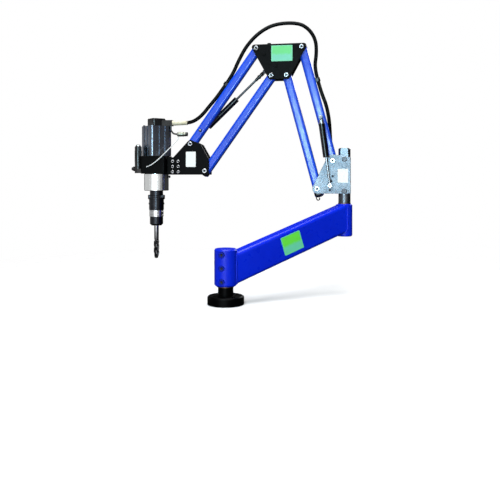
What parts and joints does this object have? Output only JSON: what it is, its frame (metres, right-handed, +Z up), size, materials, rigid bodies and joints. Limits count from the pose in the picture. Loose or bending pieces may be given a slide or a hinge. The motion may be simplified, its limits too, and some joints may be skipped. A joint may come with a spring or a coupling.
{
  "type": "flex arm tapping machine",
  "caption": "Bench mounted tapping machine: swivelling boom and column, counterbalanced parallelogram arm links, and a motor head with a quick change tap chuck.",
  "frame": {"origin": "centre of the base flange's lower face", "axes": "+Z up along the base post; the links reach towards -X in the stored pose, the boom runs at 40 degrees from +X towards +Y"},
  "size_m": [0.7615, 0.3963, 0.9057],
  "materials": {
    "black_paint": "satin black paint",
    "blue_boom_paint": "gloss blue paint",
    "blue_arm_paint": "gloss blue paint",
    "galvanised_plate": "zinc plated",
    "column_steel": "bare steel",
    "steel": "bright steel",
    "dark_screw": "black oxide",
    "bronze": "turned bronze",
    "bright_aluminium": "turned aluminium",
    "motor_black": "anodised black",
    "cream_plug": "moulded",
    "black_plastic": "moulded",
    "chuck_black": "black oxide",
    "tap_steel": "ground tool steel",
    "strut_black": "gloss black paint",
    "cable_rubber": "smooth sheath",
    "wire_sheath": "smooth sheath"
  },
  "bodies": {
    "base": {"base_flange": "black_paint", "base_post": "black_paint", "base_retaining_screw": "dark_screw"},
    "boom": {"boom_base_boss": "blue_boom_paint", "boom_lock_screws": "dark_screw", "boom_column_boss": "blue_boom_paint", "boom_tube": "blue_boom_paint", "swivel_bushes": "bronze"},
    "column": {"column_post": "column_steel", "column_retaining_screw": "dark_screw", "bracket_front_plate": "galvanised_plate", "bracket_rear_plate": "galvanised_plate", "bracket_bolts": "dark_screw", "shoulder_pins": "steel", "shoulder_bushes": "bronze", "cable_gland": "black_plastic"},
    "rear_outer_link": {"rear_outer_arm": "blue_arm_paint", "rear_cable_clip": "black_plastic", "column_cable": "cable_rubber"},
    "rear_inner_link": {"rear_inner_arm": "blue_arm_paint"},
    "elbow": {"elbow_front_plate": "black_paint", "elbow_rear_plate": "black_paint", "elbow_pins": "steel", "elbow_bushes": "bronze", "elbow_spacers": "dark_screw", "rear_loop_cable": "cable_rubber", "front_loop_cable": "cable_rubber"},
    "front_outer_link": {"front_outer_arm": "blue_arm_paint", "front_cable_clip": "black_plastic"},
    "front_inner_link": {"front_inner_arm": "blue_arm_paint"},
    "head": {"head_front_plate": "black_paint", "head_rear_plate": "black_paint", "head_pins": "steel", "head_bushes": "bronze", "head_screws": "dark_screw", "gear_housing": "black_paint", "bearing_collar": "bright_aluminium", "spindle_bearings": "steel", "motor_body": "motor_black", "encoder_cap": "motor_black", "power_plug": "cream_plug", "grip": "black_plastic", "head_cable": "cable_rubber", "button_wire": "wire_sheath"},
    "spindle": {"spindle": "steel", "chuck_body": "chuck_black", "tap_adapter": "steel", "adapter_nut": "chuck_black", "tap": "tap_steel"},
    "release_sleeve": {"release_ring": "chuck_black"},
    "rotor": {"motor_rotor": "steel"},
    "planet_a": {"planet_gear_a": "steel"},
    "planet_b": {"planet_gear_b": "steel"},
    "planet_c": {"planet_gear_c": "steel"},
    "start_key": {"start_button": "black_plastic"},
    "reverse_key": {"reverse_button": "black_plastic"},
    "rear_strut_tube": {"rear_strut_cylinder": "strut_black"},
    "rear_strut_piston": {"rear_strut_rod": "steel"},
    "front_strut_tube": {"front_strut_cylinder": "strut_black"},
    "front_strut_piston": {"front_strut_rod": "steel"}
  },
  "joints": [
    {"name": "base_swivel", "type": "hinge", "parent": "base", "child": "boom", "pos_m": [0, 0, 0.1], "axis": [0, 0, 1], "continuous": true},
    {"name": "column_swivel", "type": "hinge", "parent": "boom", "child": "column", "pos_m": [0.34242, 0.28733, 0.24], "axis": [0, 0, 1], "range_deg": [-280, 20]},
    {"name": "shoulder_lean", "type": "hinge", "parent": "column", "child": "rear_outer_link", "pos_m": [0.30442, 0.28733, 0.433], "axis": [0, -1, 0], "range_deg": [-15, 40], "deforming": ["column_cable"]},
    {"name": "rear_inner_pivot", "type": "hinge", "parent": "column", "child": "rear_inner_link", "pos_m": [0.25342, 0.28733, 0.34], "axis": [0, -1, 0], "range_deg": [-15.5, 40.5]},
    {"name": "elbow_rear_pivot", "type": "hinge", "parent": "rear_outer_link", "child": "elbow", "pos_m": [0.20178, 0.28733, 0.8134], "axis": [0, -1, 0], "range_deg": [-40.5, 15.5], "deforming": ["rear_loop_cable"]},
    {"name": "elbow_fold", "type": "hinge", "parent": "elbow", "child": "front_outer_link", "pos_m": [0.04878, 0.28733, 0.8134], "axis": [0, 1, 0], "range_deg": [-20, 30], "deforming": ["front_loop_cable"]},
    {"name": "front_inner_pivot", "type": "hinge", "parent": "elbow", "child": "front_inner_link", "pos_m": [0.09978, 0.28733, 0.7204], "axis": [0, 1, 0], "range_deg": [-20.5, 30.5]},
    {"name": "head_pivot", "type": "hinge", "parent": "front_outer_link", "child": "head", "pos_m": [-0.18057, 0.28733, 0.49304], "axis": [0, 1, 0], "range_deg": [-30.5, 20.5], "deforming": ["head_cable"]},
    {"name": "spindle_turn", "type": "hinge", "parent": "head", "child": "spindle", "pos_m": [-0.31007, 0.28733, 0.36], "axis": [0, 0, 1], "continuous": true},
    {"name": "release_slide", "type": "slide", "parent": "spindle", "child": "release_sleeve", "axis": [0, 0, -1], "range_m": [0, 0.008], "stiffness_N_per_m": 1500, "springref_m": -0.002},
    {"name": "rotor_turn", "type": "hinge", "parent": "head", "child": "rotor", "pos_m": [-0.31007, 0.28733, 0.5], "axis": [0, 0, 1], "continuous": true},
    {"name": "planet_a_turn", "type": "hinge", "parent": "spindle", "child": "planet_a", "pos_m": [-0.28757, 0.28733, 0.43], "axis": [0, 0, 1], "continuous": true},
    {"name": "planet_b_turn", "type": "hinge", "parent": "spindle", "child": "planet_b", "pos_m": [-0.32132, 0.30681, 0.43], "axis": [0, 0, 1], "continuous": true},
    {"name": "planet_c_turn", "type": "hinge", "parent": "spindle", "child": "planet_c", "pos_m": [-0.32132, 0.26784, 0.43], "axis": [0, 0, 1], "continuous": true},
    {"name": "start_press", "type": "slide", "parent": "head", "child": "start_key", "axis": [0, 0, -1], "range_m": [0, 0.003], "stiffness_N_per_m": 600, "springref_m": -0.002},
    {"name": "reverse_press", "type": "slide", "parent": "head", "child": "reverse_key", "axis": [1, 0, 0], "range_m": [0, 0.003], "stiffness_N_per_m": 600, "springref_m": -0.002},
    {"name": "rear_strut_pivot", "type": "hinge", "parent": "rear_outer_link", "child": "rear_strut_tube", "pos_m": [0.26561, 0.28733, 0.57686], "axis": [0, -1, 0], "range_deg": [-14.1, 5.6]},
    {"name": "rear_strut_stroke", "type": "slide", "parent": "rear_strut_tube", "child": "rear_strut_piston", "axis": [0.1352, 0, -0.9908], "range_m": [-0.02144, 0.00835]},
    {"name": "front_strut_pivot", "type": "hinge", "parent": "front_outer_link", "child": "front_strut_tube", "pos_m": [-0.14739, 0.28733, 0.53938], "axis": [0, 1, 0], "range_deg": [-2.3, 3.2]},
    {"name": "front_strut_stroke", "type": "slide", "parent": "front_strut_tube", "child": "front_strut_piston", "axis": [0.7257, 0, 0.688], "range_m": [-0.02319, 0.03453]}
  ],
  "couplings": [
    {"joint": "rear_inner_pivot", "follows": "shoulder_lean", "ratio": 1},
    {"joint": "elbow_rear_pivot", "follows": "shoulder_lean", "ratio": -1},
    {"joint": "rear_strut_pivot", "follows": "shoulder_lean", "ratio": -0.34},
    {"joint": "rear_strut_stroke", "follows": "shoulder_lean", "m_per_rad": -0.03},
    {"joint": "front_inner_pivot", "follows": "elbow_fold", "ratio": 1},
    {"joint": "head_pivot", "follows": "elbow_fold", "ratio": -1},
    {"joint": "front_strut_pivot", "follows": "elbow_fold", "ratio": 0.09},
    {"joint": "front_strut_stroke", "follows": "elbow_fold", "m_per_rad": 0.065},
    {"joint": "rotor_turn", "follows": "spindle_turn", "ratio": 4},
    {"joint": "planet_a_turn", "follows": "spindle_turn", "ratio": -3},
    {"joint": "planet_b_turn", "follows": "spindle_turn", "ratio": -3},
    {"joint": "planet_c_turn", "follows": "spindle_turn", "ratio": -3}
  ]
}
